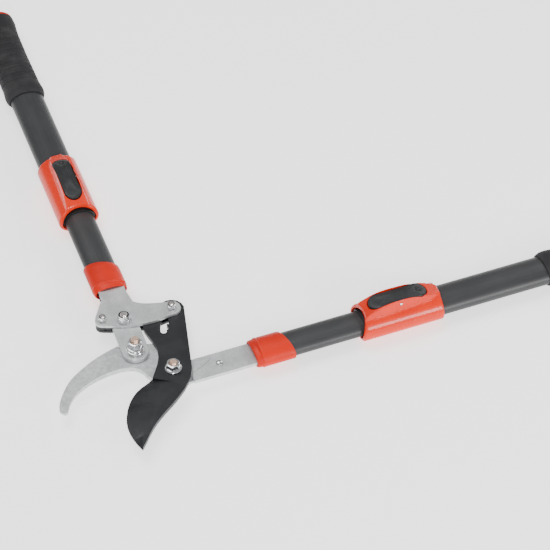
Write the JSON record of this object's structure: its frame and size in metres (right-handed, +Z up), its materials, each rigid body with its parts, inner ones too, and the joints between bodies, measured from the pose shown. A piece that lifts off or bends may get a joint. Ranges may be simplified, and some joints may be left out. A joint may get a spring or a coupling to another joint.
{
  "type": "telescopic ratchet bypass lopper",
  "caption": "Long-handled bypass pruner with a toothed ratchet blade arm, curved hook, linked side plates and telescopic oval handles with rocker locks.",
  "frame": {"origin": "centre of the flat underside of the blade's pivot bolt head", "axes": "+Z up the pivot bolt toward its nut, +X along the fixed handle away from the head, +Y toward the moving handle's side at rest"},
  "size_m": [0.7012, 0.7112, 0.0497],
  "materials": {
    "orange_gloss": "moulded, glossy",
    "orange_mat": "moulded, satin",
    "black_plastic": "moulded, fine texture",
    "tube": "dark grey satin anodised",
    "zinc_plate": "stamped, zinc plated",
    "forged_hook": "forged and ground",
    "blade_coat": "smooth dark coating",
    "dark_steel": "black coated",
    "fastener": "bright zinc plated",
    "grip_rubber": "soft, matt"
  },
  "bodies": {
    "fixed_side": {"hook": "forged_hook", "strap_right": "zinc_plate", "strap_rivet": "fastener", "pivot_bolt": "fastener", "pivot_nut": "fastener", "link_bolt": "fastener", "link_washer": "fastener", "link_nut": "fastener", "ferrule_right": "orange_mat", "inner_tube_right": "tube", "tang_insert_right": "black_plastic", "tang_pin_right": "fastener", "inner_tube_plug_right": "black_plastic"},
    "blade": {"blade": "blade_coat"},
    "link": {"link": "zinc_plate"},
    "moving_arm": {"side_plate_front": "zinc_plate", "side_plate_rear": "dark_steel", "plate_spacer": "black_plastic", "handle_bolt": "fastener", "handle_nut": "fastener", "ratchet_pin": "fastener", "ratchet_nut": "fastener", "spacer_bolt": "fastener", "spacer_nut": "fastener", "ferrule_left": "orange_mat", "inner_tube_left": "tube", "tang_insert_left": "black_plastic", "tang_pin_left": "fastener", "inner_tube_plug_left": "black_plastic"},
    "right_sleeve": {"outer_tube_right": "tube", "collar_right": "orange_gloss", "guide_bush_right": "black_plastic", "grip_right": "grip_rubber", "end_cap_right": "orange_mat", "button_pin_right": "fastener", "button_spring_right": "fastener"},
    "right_button": {"lock_button_right": "black_plastic", "lock_pin_right": "fastener"},
    "left_sleeve": {"outer_tube_left": "tube", "collar_left": "orange_gloss", "guide_bush_left": "black_plastic", "grip_left": "grip_rubber", "end_cap_left": "orange_mat", "button_pin_left": "fastener", "button_spring_left": "fastener"},
    "left_button": {"lock_button_left": "black_plastic", "lock_pin_left": "fastener"}
  },
  "joints": [
    {"name": "link_swing", "type": "hinge", "parent": "fixed_side", "child": "link", "pos_m": [-0.028, 0.038, 0.0155], "axis": [0, 0, 1], "range_deg": [-42.07, 0]},
    {"name": "arm_on_link", "type": "hinge", "parent": "link", "child": "moving_arm", "pos_m": [-0.0255, 0.0805, 0.0155], "axis": [0, 0, 1], "range_deg": [0, 2.5]},
    {"name": "blade_turn", "type": "hinge", "parent": "fixed_side", "child": "blade", "pos_m": [0, 0, 0.0155], "axis": [0, 0, 1], "range_deg": [-42.1, 0]},
    {"name": "right_slide", "type": "slide", "parent": "fixed_side", "child": "right_sleeve", "axis": [1, 0, 0], "range_m": [0, 0.28]},
    {"name": "left_slide", "type": "slide", "parent": "moving_arm", "child": "left_sleeve", "axis": [0.0349, 0.9994, 0], "range_m": [0, 0.28]},
    {"name": "right_button_rock", "type": "hinge", "parent": "right_sleeve", "child": "right_button", "pos_m": [0.248, -0.006, 0.0344], "axis": [0, 1, 0], "range_deg": [0, 5], "stiffness_Nm_per_rad": 0.3, "springref_deg": -8.59, "deforming": ["button_spring_right"]},
    {"name": "left_button_rock", "type": "hinge", "parent": "left_sleeve", "child": "left_button", "pos_m": [-0.01719, 0.2929, 0.03895], "axis": [-0.9994, 0.0349, 0], "range_deg": [0, 5], "stiffness_Nm_per_rad": 0.3, "springref_deg": -8.59, "deforming": ["button_spring_left"]}
  ],
  "couplings": [
    {"joint": "blade_turn", "follows": "link_swing", "ratio": 0.99817},
    {"joint": "arm_on_link", "follows": "link_swing", "ratio": -0.056287}
  ]
}
